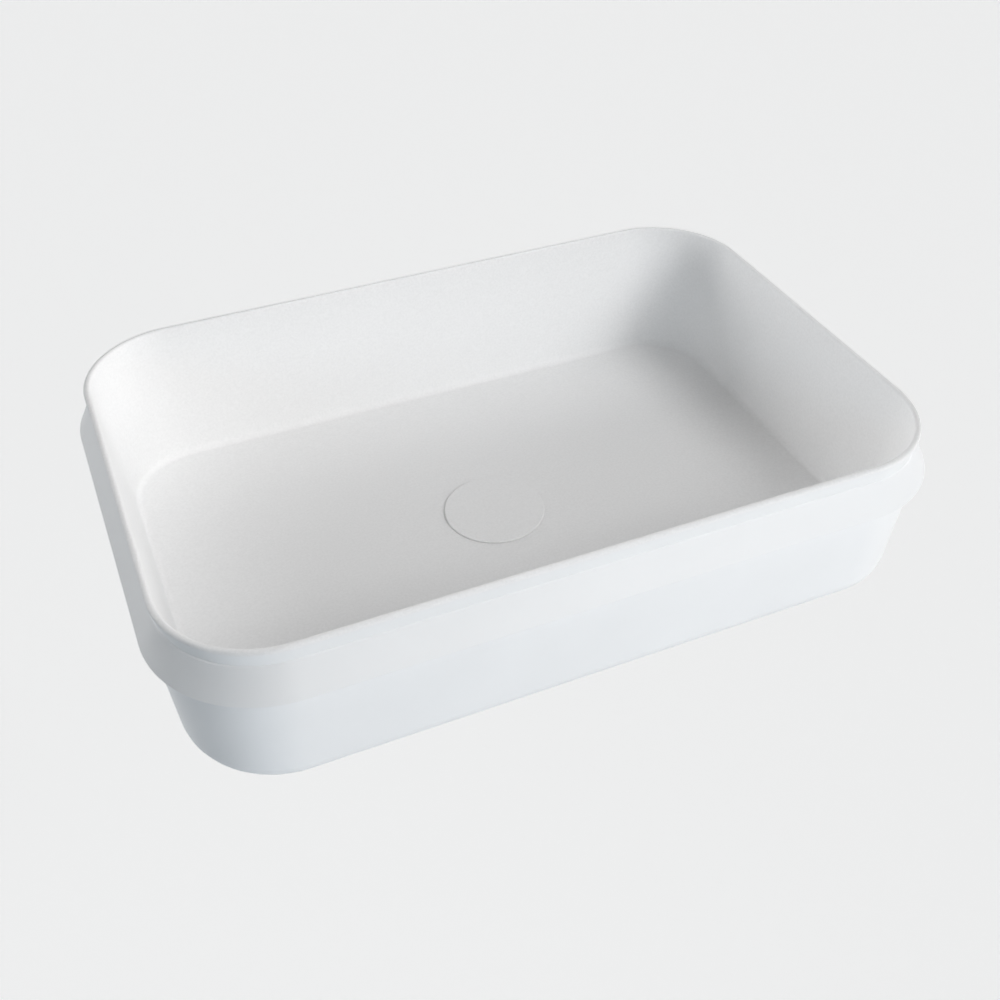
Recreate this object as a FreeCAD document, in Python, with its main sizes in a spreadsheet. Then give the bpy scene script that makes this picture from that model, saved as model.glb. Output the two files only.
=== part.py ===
import FreeCAD, Part
import Sketcher
import math
import os
import re

# A semi-inset washbasin of cast solid surface: a drop-in bowl whose skirt sits on a worktop,
# with a push-to-open waste under a cover that lies low over a recess in the bowl's floor.
# Frame: the origin is the centre of the seat under the skirt, +Z up, +X along the basin, front at -Y.

# Driving dimensions in millimetres, apart from the counts and one share
SIZES = [
    ("rim_length", 606, "bowl length over the rim, before the lip is rounded"),
    ("rim_width", 409, "bowl width over the rim, before the lip is rounded"),
    ("rim_corner", 80, "corner radius of the rim, seen from above"),
    ("skirt_height", 40, "rim above the worktop"),
    ("skirt_reach", 10.5, "skirt edge outside the rim"),
    ("skirt_edge_round", 0.4, "round along the skirt edge"),
    ("neck_height", 14.4, "rim down to the crease where the skirt flares"),
    ("neck_inset", 2.8, "crease inside the rim"),
    ("shoulder_bevel", 1, "bevel under the crease, where the skirt starts"),
    ("body_reach", 3, "lower body outside the rim, just under the skirt"),
    ("foot_inset", 5.3, "lower body inside the rim, at the bottom"),
    ("bottom_round", 20, "round along the bottom edge"),
    ("lip_width", 5.2, "width of the rim's lip"),
    ("lip_round_share", 0.45, "round along both edges of the lip, a share of its width"),
    ("bowl_depth", 124.5, "rim down to the cover"),
    ("floor_inset", 20, "foot of the bowl's inner wall inside the rim"),
    ("floor_fall", 1.5, "fall of the floor from its edge to the waste"),
    ("floor_round", 6, "round between inner wall and floor"),
    ("floor_thick", 15.5, "floor at the waste, before the recess"),
    ("sump_margin", 12.2, "level floor around the recess under the cover"),
    ("hole_clearance", 1.6, "waste hole around the barrel, on radius"),
    ("cover_diameter", 87, "drain cover"),
    ("cover_rise", 2, "cover's top above the floor"),
    ("cover_round", 1, "round along the cover's top edge"),
    ("cover_lift", 0.5, "underside of the cover's edge above the floor, which a push takes up"),
    ("cover_sunk", 0.7, "cover's underside below the floor, at the carrier plate"),
    ("cover_overlap", 1.2, "cover beyond the recess"),
    ("cover_overhang", 12, "cover beyond its carrier plate"),
    ("carrier_thick", 4.6, "carrier plate"),
    ("spigot_gap", 1, "carrier's spigot inside the barrel, on radius"),
    ("spigot_height", 3, "spigot under the carrier plate"),
    ("hub_diameter", 14, "carrier's hub for the plunger"),
    ("hub_length", 7, "hub under the spigot"),
    ("socket_depth", 6, "plunger's thread in the hub"),
    ("plug_seal_width", 6, "sealing ring around the spigot"),
    ("plug_seal_thick", 1.2, "sealing ring around the spigot"),
    ("seat_gap", 0.2, "sealing ring above the flange"),
    ("flange_lip", 11, "waste flange beyond the barrel"),
    ("flange_thick", 2, "waste flange"),
    ("flange_bevel", 1, "bevel on the flange's outer edge"),
    ("mouth_chamfer", 1, "chamfer into the barrel's mouth"),
    ("flange_seal_width", 7, "ring under the flange, beyond the hole"),
    ("flange_seal_thick", 1.2, "ring under the flange"),
    ("barrel_diameter", 41.91, "G 1 1/4 thread, outside"),
    ("barrel_wall", 3, "barrel at the thread's crest"),
    ("thread_depth", 1.48, "G 1 1/4 thread, crest to root"),
    ("nut_thread_spare", 5, "upper thread below the back nut"),
    ("trap_thread", 25, "lower thread, for the trap's nut"),
    ("end_chamfer", 1, "chamfer on the barrel's lower end"),
    ("tail_below", 10, "barrel below the spider"),
    ("arm_count", 3, "arms of the spider, a count"),
    ("arm_thick", 3, "spider arm"),
    ("arm_height", 6, "spider arm"),
    ("spider_wall", 4, "spider's hub around the cartridge thread"),
    ("gasket_width", 9, "rubber gasket under the bowl"),
    ("gasket_thick", 5, "rubber gasket under the bowl"),
    ("gasket_nose", 3, "gasket's cone, up into the waste hole"),
    ("nose_gap", 0.2, "cone inside the waste hole, on radius"),
    ("washer_width", 8.5, "slip washer"),
    ("washer_thick", 1.5, "slip washer"),
    ("nut_wall", 5, "back nut beyond its thread, at the flats"),
    ("nut_height", 9, "back nut"),
    ("thread_gap", 0.1, "what is threaded on the barrel, on radius"),
    ("cartridge_bore", 12.4, "push-to-open cartridge, inside"),
    ("cartridge_wall", 1.8, "push-to-open cartridge"),
    ("cartridge_floor", 1.5, "push-to-open cartridge"),
    ("stub_diameter", 10, "cartridge thread in the spider"),
    ("stub_length", 9, "cartridge thread in the spider"),
    ("bush_flange", 1.5, "guide bush on the cartridge"),
    ("bush_spigot", 3.5, "guide bush in the cartridge"),
    ("rod_diameter", 7, "plunger's rod"),
    ("head_height", 4, "plunger's head"),
    ("pin_diameter", 4, "plunger's pin through the index ring"),
    ("pin_reach", 4, "pin below the index ring"),
    ("ring_height", 5, "index ring"),
    ("notch_count", 6, "notches in the index ring, a count"),
    ("notch_width", 2, "notch in the index ring"),
    ("notch_depth", 2, "notch in the index ring"),
    ("spring_height", 10, "room for the spring, cover closed"),
    ("spring_turns", 6, "turns of the spring, a count"),
    ("spring_gap", 0.6, "spring inside the cartridge, on radius"),
    ("spring_end_gap", 0.1, "spring to what it presses on"),
    ("wire_diameter", 0.8, "spring wire"),
    ("plug_travel", 9, "cover from closed to open"),
    ("stop_gap", 0.3, "plunger's head to the bush, cover open"),
    ("hub_gap", 2, "carrier's hub above the bush, cover closed"),
    ("running_gap", 0.05, "running fits, on radius"),
    ("slide_gap", 0.3, "head and index ring in the cartridge, on radius"),
    ("fit_gap", 0.05, "threads and spigots that stay put, on radius"),
    ("cut_overrun", 1, "cuts past the face they leave"),
]

doc = FreeCAD.newDocument("washbasin")
sheet = doc.addObject("Spreadsheet::Sheet", "Sizes")
for row, (alias, value, words) in enumerate(SIZES, start=1):
    sheet.set(f"A{row}", words)
    sheet.set(f"B{row}", str(value))
    sheet.setAlias(f"B{row}", alias)
doc.recompute()

SIZE_NAME = re.compile(r"\b[a-z_]+\b(?!\()")


def cells(formula):
    """A formula in the names of the sizes, as an expression on the sheet's cells."""
    return SIZE_NAME.sub(lambda name: f"Sizes.{name[0]}", formula)


def number(formula):
    """What a formula in the names of the sizes comes to."""
    text = SIZE_NAME.sub(lambda name: f"({sheet.get(name[0])})", formula)
    return FreeCAD.Units.Quantity(text).Value


# Levels on the Z axis, from the rim down
RIM = "skirt_height"
CREASE = "skirt_height - neck_height"
FLOOR = "skirt_height - bowl_depth"
FLOOR_EDGE = f"{FLOOR} + floor_fall"
BOTTOM = f"{FLOOR} - floor_thick"
COVER_UNDER = f"{FLOOR} - cover_sunk"
CARRIER_UNDER = f"{COVER_UNDER} - carrier_thick"
FLANGE_TOP = f"{CARRIER_UNDER} - plug_seal_thick - seat_gap"
FLANGE_UNDER = f"{FLANGE_TOP} - flange_thick"
RECESS = f"{FLANGE_UNDER} - flange_seal_thick"
HUB_END = f"{CARRIER_UNDER} - spigot_height - hub_length"
CARTRIDGE_TOP = f"{HUB_END} - hub_gap - bush_flange"
HEAD_TOP = f"{CARTRIDGE_TOP} - bush_spigot - stop_gap - plug_travel"
RING_UNDER = f"{HEAD_TOP} - head_height - ring_height"
CHAMBER_FLOOR = f"{RING_UNDER} - spring_height"
SPIDER_TOP = f"{CHAMBER_FLOOR} - cartridge_floor"
SPIDER_UNDER = f"{SPIDER_TOP} - stub_length"
BARREL_END = f"{SPIDER_UNDER} - tail_below"
GASKET_UNDER = f"{BOTTOM} - gasket_thick"
WASHER_UNDER = f"{GASKET_UNDER} - washer_thick"
NUT_UNDER = f"{WASHER_UNDER} - nut_height"

# Radii about the Z axis
RECESS_RADIUS = "(cover_diameter/2 - cover_overlap)"
HOLE_RADIUS = "(barrel_diameter/2 + hole_clearance)"
BARREL_BORE = "(barrel_diameter/2 - barrel_wall)"
FLANGE_RADIUS = "(barrel_diameter/2 + flange_lip)"
SPIGOT_RADIUS = f"({BARREL_BORE} - spigot_gap)"
ON_BARREL = "(barrel_diameter/2 + thread_gap)"
CARTRIDGE_RADIUS = "(cartridge_bore/2 + cartridge_wall)"

pieces = []


def new_body(label, foot="0"):
    """An empty body for one piece, standing at a level of the assembly."""
    body = doc.addObject("PartDesign::Body", label)
    body.Label = label
    body.setExpression("Placement.Base.z", cells(foot))
    pieces.append(body)
    return body


def new_sketch(body, name, plane, height="0"):
    """An empty sketch on one of a body's own planes, or a height above it."""
    sketch = body.newObject("Sketcher::SketchObject", f"{body.Label}_{name}")
    support = [feature for feature in body.Origin.OriginFeatures if feature.Role == plane]
    sketch.AttachmentSupport = [(support[0], "")]
    sketch.MapMode = "FlatFace"
    sketch.setExpression("AttachmentOffset.Base.z", cells(height))
    return sketch


def dimension(sketch, constraint, name, formula):
    """Add a dimension to a sketch and tie it to the sizes."""
    index = sketch.addConstraint(constraint)
    sketch.renameConstraint(index, name)
    sketch.setExpression(f"Constraints.{name}", cells(formula))


def polygon(body, name, plane, corners, height="0"):
    """A closed outline whose corners are dimensioned from the origin, or lie on its axes."""
    sketch = new_sketch(body, name, plane, height)
    points = [FreeCAD.Vector(number(across), number(up), 0) for across, up in corners]
    for start, end in zip(points, points[1:] + points[:1]):
        sketch.addGeometry(Part.LineSegment(start, end))
    for side in range(len(points)):
        follower = (side + 1) % len(points)
        sketch.addConstraint(Sketcher.Constraint("Coincident", side, 2, follower, 1))
    for side, (across, up) in enumerate(corners):
        for kind, axis, formula in (("DistanceX", -2, across), ("DistanceY", -1, up)):
            if formula == "0":
                sketch.addConstraint(Sketcher.Constraint("PointOnObject", side, 1, axis))
            else:
                start = Sketcher.Constraint(kind, -1, 1, side, 1, number(formula))
                dimension(sketch, start, f"{kind.lower()}_{side}", formula)
    return sketch


def circle(body, name, radius, height="0"):
    """A circle about the Z axis."""
    sketch = new_sketch(body, name, "XY_Plane", height)
    up = FreeCAD.Vector(0, 0, 1)
    sketch.addGeometry(Part.Circle(FreeCAD.Vector(), up, number(radius)))
    sketch.addConstraint(Sketcher.Constraint("Coincident", 0, 3, -1, 1))
    dimension(sketch, Sketcher.Constraint("Radius", 0, number(radius)), "radius", radius)
    return sketch


def rounded_rectangle(body, name, height, length, width, corner):
    """A rectangle with round corners about the Z axis, drawn anticlockwise from the front side."""
    sketch = new_sketch(body, name, "XY_Plane", height)
    radius = number(corner)
    along = number(length) / 2 - radius
    across = number(width) / 2 - radius
    up = FreeCAD.Vector(0, 0, 1)
    centres = [(along, -across), (along, across), (-along, across), (-along, -across)]
    for turn, (x, y) in enumerate(centres):
        centre = FreeCAD.Vector(x, y, 0)
        before = centres[turn - 1]
        out = FreeCAD.Vector(math.sin(turn * math.pi / 2), -math.cos(turn * math.pi / 2), 0) * radius
        sketch.addGeometry(Part.LineSegment(FreeCAD.Vector(*before, 0) + out, centre + out))
        begin = (turn - 1) * math.pi / 2
        sketch.addGeometry(Part.ArcOfCircle(Part.Circle(centre, up, radius), begin, begin + math.pi / 2))
    for turn in range(4):
        side, arc, following = 2 * turn, 2 * turn + 1, (2 * turn + 2) % 8
        sketch.addConstraint(Sketcher.Constraint("Tangent", side, 2, arc, 1))
        sketch.addConstraint(Sketcher.Constraint("Tangent", arc, 2, following, 1))
        sketch.addConstraint(Sketcher.Constraint("Vertical" if turn % 2 else "Horizontal", side))
    for arc in (3, 5, 7):
        sketch.addConstraint(Sketcher.Constraint("Equal", 1, arc))
    sketch.addConstraint(Sketcher.Constraint("Symmetric", 1, 3, 5, 3, -1, 1))
    dimension(sketch, Sketcher.Constraint("DistanceX", 6, 1, 2, 1, number(length)), "length", length)
    dimension(sketch, Sketcher.Constraint("DistanceY", 0, 1, 4, 1, number(width)), "width", width)
    dimension(sketch, Sketcher.Constraint("Radius", 1, radius), "corner", corner)
    return sketch


def rim_section(body, name, height, reach):
    """The rim's outline at another height, moved outwards all round by a reach."""
    return rounded_rectangle(
        body, name, height, f"rim_length + 2*({reach})", f"rim_width + 2*({reach})", f"rim_corner + {reach}"
    )


def loft(body, kind, name, sections):
    """Straight walls from each section to the next."""
    feature = body.newObject(kind, f"{body.Label}_{name}")
    feature.Profile = sections[0]
    feature.Sections = sections[1:]
    feature.Ruled = True
    return feature


def pad(body, name, sketch, length):
    """Material upwards from a sketch."""
    feature = body.newObject("PartDesign::Pad", f"{body.Label}_{name}")
    feature.Profile = sketch
    feature.setExpression("Length", cells(length))
    return feature


def pocket(body, name, sketch, depth=None):
    """A cut downwards from a sketch, right through where no depth is given."""
    feature = body.newObject("PartDesign::Pocket", f"{body.Label}_{name}")
    feature.Profile = sketch
    if depth:
        feature.setExpression("Length", cells(depth))
    else:
        feature.Type = "ThroughAll"
    return feature


def around(body, name, feature, sketch, count):
    """Repeat a feature evenly about the Z axis."""
    pattern = body.newObject("PartDesign::PolarPattern", f"{body.Label}_{name}")
    pattern.Originals = [feature]
    pattern.Axis = (sketch, ["N_Axis"])
    pattern.Angle = 360
    pattern.setExpression("Occurrences", cells(count))
    body.Tip = pattern
    return pattern


def round_edges(body, name, feature, radius, wanted):
    """Round those edges of a feature that a test on each edge picks."""
    doc.recompute()
    chosen = [f"Edge{n}" for n, edge in enumerate(feature.Shape.Edges, start=1) if wanted(edge)]
    fillet = body.newObject("PartDesign::Fillet", f"{body.Label}_{name}")
    fillet.Base = (feature, chosen)
    fillet.setExpression("Radius", cells(radius))
    return fillet


def lies_at(height):
    """A test for edges that lie level at a height of their body."""
    level = number(height)

    def test(edge):
        low, high = edge.BoundBox.ZMin, edge.BoundBox.ZMax
        return max(abs(low - level), abs(high - level)) < Part.Precision.confusion()

    return test


def reach_of(edge):
    """How far the middle of an edge lies outside the rim's outline."""
    middle = edge.valueAt((edge.FirstParameter + edge.LastParameter) / 2)
    corner = number("rim_corner")
    x = abs(middle.x) - (number("rim_length") / 2 - corner)
    y = abs(middle.y) - (number("rim_width") / 2 - corner)
    return math.hypot(max(x, 0), max(y, 0)) + min(max(x, y), 0) - corner


def turned(label, foot, half_section):
    """A piece turned about the Z axis: its half section as (radius, height above its foot)."""
    body = new_body(label, foot)
    sketch = polygon(body, "section", "XZ_Plane", half_section)
    turning = body.newObject("PartDesign::Revolution", f"{label}_turning")
    turning.Profile = sketch
    turning.ReferenceAxis = (sketch, ["V_Axis"])
    turning.Angle = 360
    return body


def ring(label, foot, inside, outside, thick):
    """A plain flat ring."""
    return turned(label, foot, [(inside, "0"), (outside, "0"), (outside, thick), (inside, thick)])


def make_basin_bowl():
    """The cast bowl: tapered body below the worktop, flared skirt on it, and the bowl's hollow."""
    body = new_body("basin_bowl")
    lower = [
        rim_section(body, "foot", BOTTOM, "-foot_inset"),
        rim_section(body, "under_skirt", "0", "body_reach"),
    ]
    lower_body = loft(body, "PartDesign::AdditiveLoft", "lower_body", lower)
    round_edges(body, "bottom", lower_body, "bottom_round", lies_at(BOTTOM))
    upper = [
        rim_section(body, "skirt_edge", "0", "skirt_reach"),
        rim_section(body, "shoulder", f"{CREASE} - shoulder_bevel", "shoulder_bevel - neck_inset"),
        rim_section(body, "crease", CREASE, "-neck_inset"),
        rim_section(body, "rim", RIM, "0"),
    ]
    skirt = loft(body, "PartDesign::AdditiveLoft", "skirt", upper)
    seat_middle = number("(body_reach + skirt_reach)/2")
    round_edges(
        body, "skirt_edge_round", skirt, "skirt_edge_round",
        lambda edge: lies_at("0")(edge) and reach_of(edge) > seat_middle,
    )
    side = f"2*({RECESS_RADIUS} + sump_margin)"
    hollow = [
        rim_section(body, "mouth", RIM, "-lip_width"),
        rim_section(body, "floor_edge", FLOOR_EDGE, "-floor_inset"),
        rounded_rectangle(body, "sump", FLOOR, side, side, f"{RECESS_RADIUS} + sump_margin/2"),
    ]
    bowl = loft(body, "PartDesign::SubtractiveLoft", "bowl", hollow)
    floor = round_edges(body, "floor", bowl, "floor_round", lies_at(FLOOR_EDGE))
    round_edges(body, "lip", floor, "lip_round_share*lip_width", lies_at(RIM))
    recess = circle(body, "recess_outline", RECESS_RADIUS, FLOOR)
    pocket(body, "recess", recess, f"{FLOOR} - ({RECESS})")
    pocket(body, "waste_hole", circle(body, "hole_outline", HOLE_RADIUS, FLOOR))


def make_drain_cover():
    """The cover: a disc cast in the bowl's own material, low over its recess, slightly conical below."""
    top = "cover_sunk + cover_rise"
    body = turned(
        "drain_cover",
        COVER_UNDER,
        [
            ("0", "0"),
            ("cover_diameter/2 - cover_overhang", "0"),
            ("cover_diameter/2", "cover_sunk + cover_lift"),
            ("cover_diameter/2", top),
            ("0", top),
        ],
    )
    around_edge = number("cover_diameter")
    round_edges(
        body, "edge", body.Tip, "cover_round",
        lambda edge: lies_at(top)(edge) and edge.Length > around_edge,
    )


def make_cover_carrier():
    """The moulded plate bonded under the cover: spigot for the seal, hub for the plunger."""
    socket = "rod_diameter/2 + fit_gap"
    plate = "cover_diameter/2 - cover_overhang"
    under = "hub_length + spigot_height"
    top = f"{under} + carrier_thick"
    turned(
        "cover_carrier",
        HUB_END,
        [
            (socket, "0"),
            ("hub_diameter/2", "0"),
            ("hub_diameter/2", "hub_length"),
            (SPIGOT_RADIUS, "hub_length"),
            (SPIGOT_RADIUS, under),
            (plate, under),
            (plate, top),
            ("0", top),
            ("0", "socket_depth"),
            (socket, "socket_depth"),
        ],
    )


def make_plug_seal():
    """The soft ring around the spigot, which shuts on the waste flange."""
    foot = f"{CARRIER_UNDER} - plug_seal_thick"
    inside = f"{SPIGOT_RADIUS} + fit_gap"
    ring("plug_seal", foot, inside, f"{inside} + plug_seal_width", "plug_seal_thick")


def make_flange_seal():
    """The soft ring between the waste flange and the floor of the recess."""
    ring("flange_seal", RECESS, HOLE_RADIUS, f"{HOLE_RADIUS} + flange_seal_width", "flange_seal_thick")


def make_waste_body():
    """The turned waste: flange, barrel with two threads, and a spider that carries the cartridge."""
    under_flange = f"{FLANGE_UNDER} - ({BARREL_END})"
    top = f"{under_flange} + flange_thick"
    waist = "barrel_diameter/2 - thread_depth"
    waist_top = f"{NUT_UNDER} - nut_thread_spare - ({BARREL_END})"
    body = turned(
        "waste_body",
        BARREL_END,
        [
            (BARREL_BORE, "0"),
            ("barrel_diameter/2 - end_chamfer", "0"),
            ("barrel_diameter/2", "end_chamfer"),
            ("barrel_diameter/2", "trap_thread"),
            (waist, "trap_thread + thread_depth"),
            (waist, f"{waist_top} - thread_depth"),
            ("barrel_diameter/2", waist_top),
            ("barrel_diameter/2", under_flange),
            (FLANGE_RADIUS, under_flange),
            (FLANGE_RADIUS, f"{top} - flange_bevel"),
            (f"{FLANGE_RADIUS} - flange_bevel", top),
            (f"{BARREL_BORE} + mouth_chamfer", top),
            (BARREL_BORE, f"{top} - mouth_chamfer"),
        ],
    )
    side = "arm_thick/2"
    in_wall = "barrel_diameter/2 - (barrel_wall + thread_depth)/2"
    arm_corners = [(f"-{side}", "0"), (side, "0"), (side, in_wall), (f"-{side}", in_wall)]
    arm_outline = polygon(body, "arm_outline", "XY_Plane", arm_corners, "tail_below")
    arm = pad(body, "arm", arm_outline, "arm_height")
    around(body, "arms", arm, arm_outline, "arm_count")
    hub_outline = circle(body, "hub_outline", "stub_diameter/2 + spider_wall", "tail_below")
    pad(body, "hub", hub_outline, "stub_length")
    bore_outline = circle(body, "bore_outline", "stub_diameter/2 + fit_gap", "tail_below + stub_length")
    pocket(body, "hub_bore", bore_outline)


def make_under_gasket():
    """The rubber gasket under the bowl, with a cone that centres the barrel in the hole."""
    nose_root = f"{HOLE_RADIUS} - nose_gap"
    nose_top = "gasket_thick + gasket_nose"
    turned(
        "under_gasket",
        GASKET_UNDER,
        [
            (ON_BARREL, "0"),
            (f"{ON_BARREL} + gasket_width", "0"),
            (f"{ON_BARREL} + gasket_width", "gasket_thick"),
            (nose_root, "gasket_thick"),
            (f"({ON_BARREL} + {nose_root})/2", nose_top),
            (ON_BARREL, nose_top),
        ],
    )


def make_slip_washer():
    """The stiff washer that lets the back nut turn without dragging the gasket."""
    ring("slip_washer", WASHER_UNDER, ON_BARREL, f"{ON_BARREL} + washer_width", "washer_thick")


def make_back_nut():
    """The hexagonal nut that pulls the waste down on the bowl, bevelled at its lower corners."""
    body = new_body("back_nut", NUT_UNDER)
    flat = "(barrel_diameter/2 + nut_wall)"
    point = f"(2*{flat}/sqrt(3))"
    hexagon = [
        (point, "0"),
        (f"{point}/2", flat),
        (f"-{point}/2", flat),
        (f"-{point}", "0"),
        (f"-{point}/2", f"-{flat}"),
        (f"{point}/2", f"-{flat}"),
    ]
    pad(body, "block", polygon(body, "hexagon", "XY_Plane", hexagon), "nut_height")
    pocket(body, "thread", circle(body, "thread_outline", ON_BARREL, "nut_height"))
    outside = f"{point} + cut_overrun"
    bevel = [(flat, "0"), (outside, "0"), (outside, f"({outside} - {flat})/sqrt(3)")]
    groove = body.newObject("PartDesign::Groove", "back_nut_bevel")
    groove.Profile = polygon(body, "bevel_outline", "XZ_Plane", bevel)
    groove.ReferenceAxis = (groove.Profile[0], ["V_Axis"])
    groove.Angle = 360


def make_cartridge_housing():
    """The closed tube of the push-to-open cartridge, on a threaded stub."""
    floor = "stub_length + cartridge_floor"
    top = f"{CARTRIDGE_TOP} - ({SPIDER_UNDER})"
    turned(
        "cartridge_housing",
        SPIDER_UNDER,
        [
            ("0", "0"),
            ("stub_diameter/2", "0"),
            ("stub_diameter/2", "stub_length"),
            (CARTRIDGE_RADIUS, "stub_length"),
            (CARTRIDGE_RADIUS, top),
            ("cartridge_bore/2", top),
            ("cartridge_bore/2", floor),
            ("0", floor),
        ],
    )


def make_guide_bush():
    """The bush that closes the cartridge and guides the plunger."""
    bore = "rod_diameter/2 + running_gap"
    spigot = "cartridge_bore/2 - fit_gap"
    top = "bush_spigot + bush_flange"
    turned(
        "guide_bush",
        f"{CARTRIDGE_TOP} - bush_spigot",
        [
            (bore, "0"),
            (spigot, "0"),
            (spigot, "bush_spigot"),
            (CARTRIDGE_RADIUS, "bush_spigot"),
            (CARTRIDGE_RADIUS, top),
            (bore, top),
        ],
    )


def make_plunger():
    """The plunger: rod up into the carrier, head inside the cartridge, pin through the index ring."""
    head = "cartridge_bore/2 - slide_gap"
    pin_length = "ring_height + pin_reach"
    head_top = f"{pin_length} + head_height"
    foot = f"{HEAD_TOP} - head_height - ({pin_length})"
    rod_top = f"{HUB_END} + socket_depth - ({foot})"
    turned(
        "plunger",
        foot,
        [
            ("0", "0"),
            ("pin_diameter/2", "0"),
            ("pin_diameter/2", pin_length),
            (head, pin_length),
            (head, head_top),
            ("rod_diameter/2", head_top),
            ("rod_diameter/2", rod_top),
            ("0", rod_top),
        ],
    )


def make_index_ring():
    """The notched ring that steps round at each push and holds the cover down or lets it rise."""
    outside = "cartridge_bore/2 - slide_gap"
    body = ring("index_ring", RING_UNDER, "pin_diameter/2 + running_gap", outside, "ring_height")
    side = "notch_width/2"
    past = f"{outside} + cut_overrun"
    corners = [("0", f"-{side}"), (past, f"-{side}"), (past, side), ("0", side)]
    outline = polygon(body, "notch_outline", "XY_Plane", corners, "ring_height")
    notch = pocket(body, "notch", outline, "notch_depth")
    around(body, "notches", notch, outline, "notch_count")


def arc_from(start, tangent, end):
    """The arc that leaves a point along a tangent and ends at another point."""
    chord = end - start
    half = chord.Length / 2
    chord.normalize()
    side = tangent - chord * tangent.dot(chord)
    bend = math.atan2(side.Length, tangent.dot(chord))
    side.normalize()
    crown = (start + end) / 2 + side * (half * math.tan(bend / 2))
    return Part.Arc(start, crown, end).toShape()


def biarc(start, start_tangent, end, end_tangent):
    """Two tangent arcs from one point and direction to another."""
    across = end - start
    both = start_tangent + end_tangent
    spread = 2 * (1 - start_tangent.dot(end_tangent))
    reach = (-across.dot(both) + math.sqrt(across.dot(both) ** 2 + spread * across.dot(across))) / spread
    meeting = (start + end + (start_tangent - end_tangent) * reach) / 2
    back = arc_from(end, end_tangent * -1, meeting)
    return [arc_from(start, start_tangent, meeting), back.reversed()]


def make_return_spring():
    """The compression spring under the index ring: one wire wound on quarter turns of a helix."""
    wire = number("wire_diameter")
    radius = number("cartridge_bore/2 - spring_gap - wire_diameter/2")
    low = number("spring_end_gap + wire_diameter/2")
    high = number("spring_height - spring_end_gap - wire_diameter/2")
    turns = number("spring_turns")
    climb = (high - low) / (2 * math.pi * turns)

    def place(angle):
        return FreeCAD.Vector(radius * math.cos(angle), radius * math.sin(angle), low + climb * angle)

    def heading(angle):
        return FreeCAD.Vector(-radius * math.sin(angle), radius * math.cos(angle), climb).normalize()

    steps = [quarter * math.pi / 2 for quarter in range(int(4 * turns) + 1)]
    edges = []
    for here, there in zip(steps, steps[1:]):
        edges += biarc(place(here), heading(here), place(there), heading(there))
    path = Part.Wire(edges)
    section = Part.Wire([Part.Circle(place(0), heading(0), wire / 2).toShape()])
    coil = path.makePipeShell([section], True, False)
    print(f"return_spring: {coil.Volume / (math.pi * wire**2 / 4 * path.Length):.4f} of section times length")
    print(f"return_spring: least gap between turns {2 * math.pi * climb - wire:.2f} mm")
    spring = doc.addObject("Part::Feature", "return_spring")
    spring.Label = "return_spring"
    spring.Shape = coil
    spring.Placement = FreeCAD.Placement(FreeCAD.Vector(0, 0, number(CHAMBER_FLOOR)), FreeCAD.Rotation())
    pieces.append(spring)


make_basin_bowl()
make_drain_cover()
make_cover_carrier()
make_plug_seal()
make_flange_seal()
make_waste_body()
make_under_gasket()
make_slip_washer()
make_back_nut()
make_cartridge_housing()
make_guide_bush()
make_plunger()
make_index_ring()
make_return_spring()
doc.recompute()

for item in doc.Objects:
    if "Invalid" in item.State or "Error" in item.State:
        raise RuntimeError(f"{item.Label} failed: {item.State}")
for piece in pieces:
    if piece.Shape.isNull() or not piece.Shape.isValid() or len(piece.Shape.Solids) != 1:
        raise RuntimeError(f"{piece.Label} isn't one valid solid")

os.makedirs("parts", exist_ok=True)
for piece in pieces:
    piece.Shape.exportStep(f"parts/{piece.Label}.step")
    box = piece.Shape.optimalBoundingBox()
    print(
        f"{piece.Label}: {box.XLength:.2f} x {box.YLength:.2f} x {box.ZLength:.2f} mm,"
        f" from z {box.ZMin:.2f}, {piece.Shape.Volume / 1000:.2f} cm3"
    )
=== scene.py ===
import math
import bpy
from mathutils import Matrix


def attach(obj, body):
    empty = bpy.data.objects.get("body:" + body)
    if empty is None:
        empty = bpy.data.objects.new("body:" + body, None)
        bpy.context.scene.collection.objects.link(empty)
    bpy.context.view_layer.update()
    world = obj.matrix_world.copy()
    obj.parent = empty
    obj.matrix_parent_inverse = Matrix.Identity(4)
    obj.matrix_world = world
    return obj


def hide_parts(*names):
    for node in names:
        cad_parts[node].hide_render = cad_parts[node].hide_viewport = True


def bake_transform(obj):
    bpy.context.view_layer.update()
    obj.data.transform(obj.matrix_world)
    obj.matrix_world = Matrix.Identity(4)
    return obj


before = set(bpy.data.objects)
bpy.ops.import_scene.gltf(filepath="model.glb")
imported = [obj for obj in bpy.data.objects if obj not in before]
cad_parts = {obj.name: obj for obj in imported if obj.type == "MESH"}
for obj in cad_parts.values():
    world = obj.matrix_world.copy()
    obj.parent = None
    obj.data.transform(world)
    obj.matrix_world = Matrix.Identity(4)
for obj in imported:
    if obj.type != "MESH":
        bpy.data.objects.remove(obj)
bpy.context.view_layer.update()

# Bowl
# One casting of mineral-filled acrylic, poured in a closed mould. The inside and the lip are sanded dead
# matt, the outside keeps the mould's smoother skin. It drops into a worktop and its skirt rests on the top.
# Sizes are in millimetres. A reach is measured outwards from the rim's outline, a height from the worktop.
MM = 0.001
RIM_LENGTH = 606
RIM_WIDTH = 409
RIM_CORNER = 80
RIM = 40
LIP_WIDTH = 5.2
LIP_ROUND = 2.34
LIP_FOOT = 36.8
LIP_FOOT_REACH = -0.62
NECK = 25.6
NECK_REACH = -2.8
SKIRT_TOP = 24.6
SKIRT_TOP_REACH = -1.8
SKIRT_REACH = 10.5
SEAT = 0
BODY_REACH = 3
BOTTOM = -100
BOTTOM_REACH = -5.3
BOTTOM_ROUND = 20
FLOOR = -84.5
FLOOR_EDGE = -83
FLOOR_EDGE_REACH = -20
FLOOR_ROUND = 6
RECESS = -94.4
RECESS_RADIUS = 42.3
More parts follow.
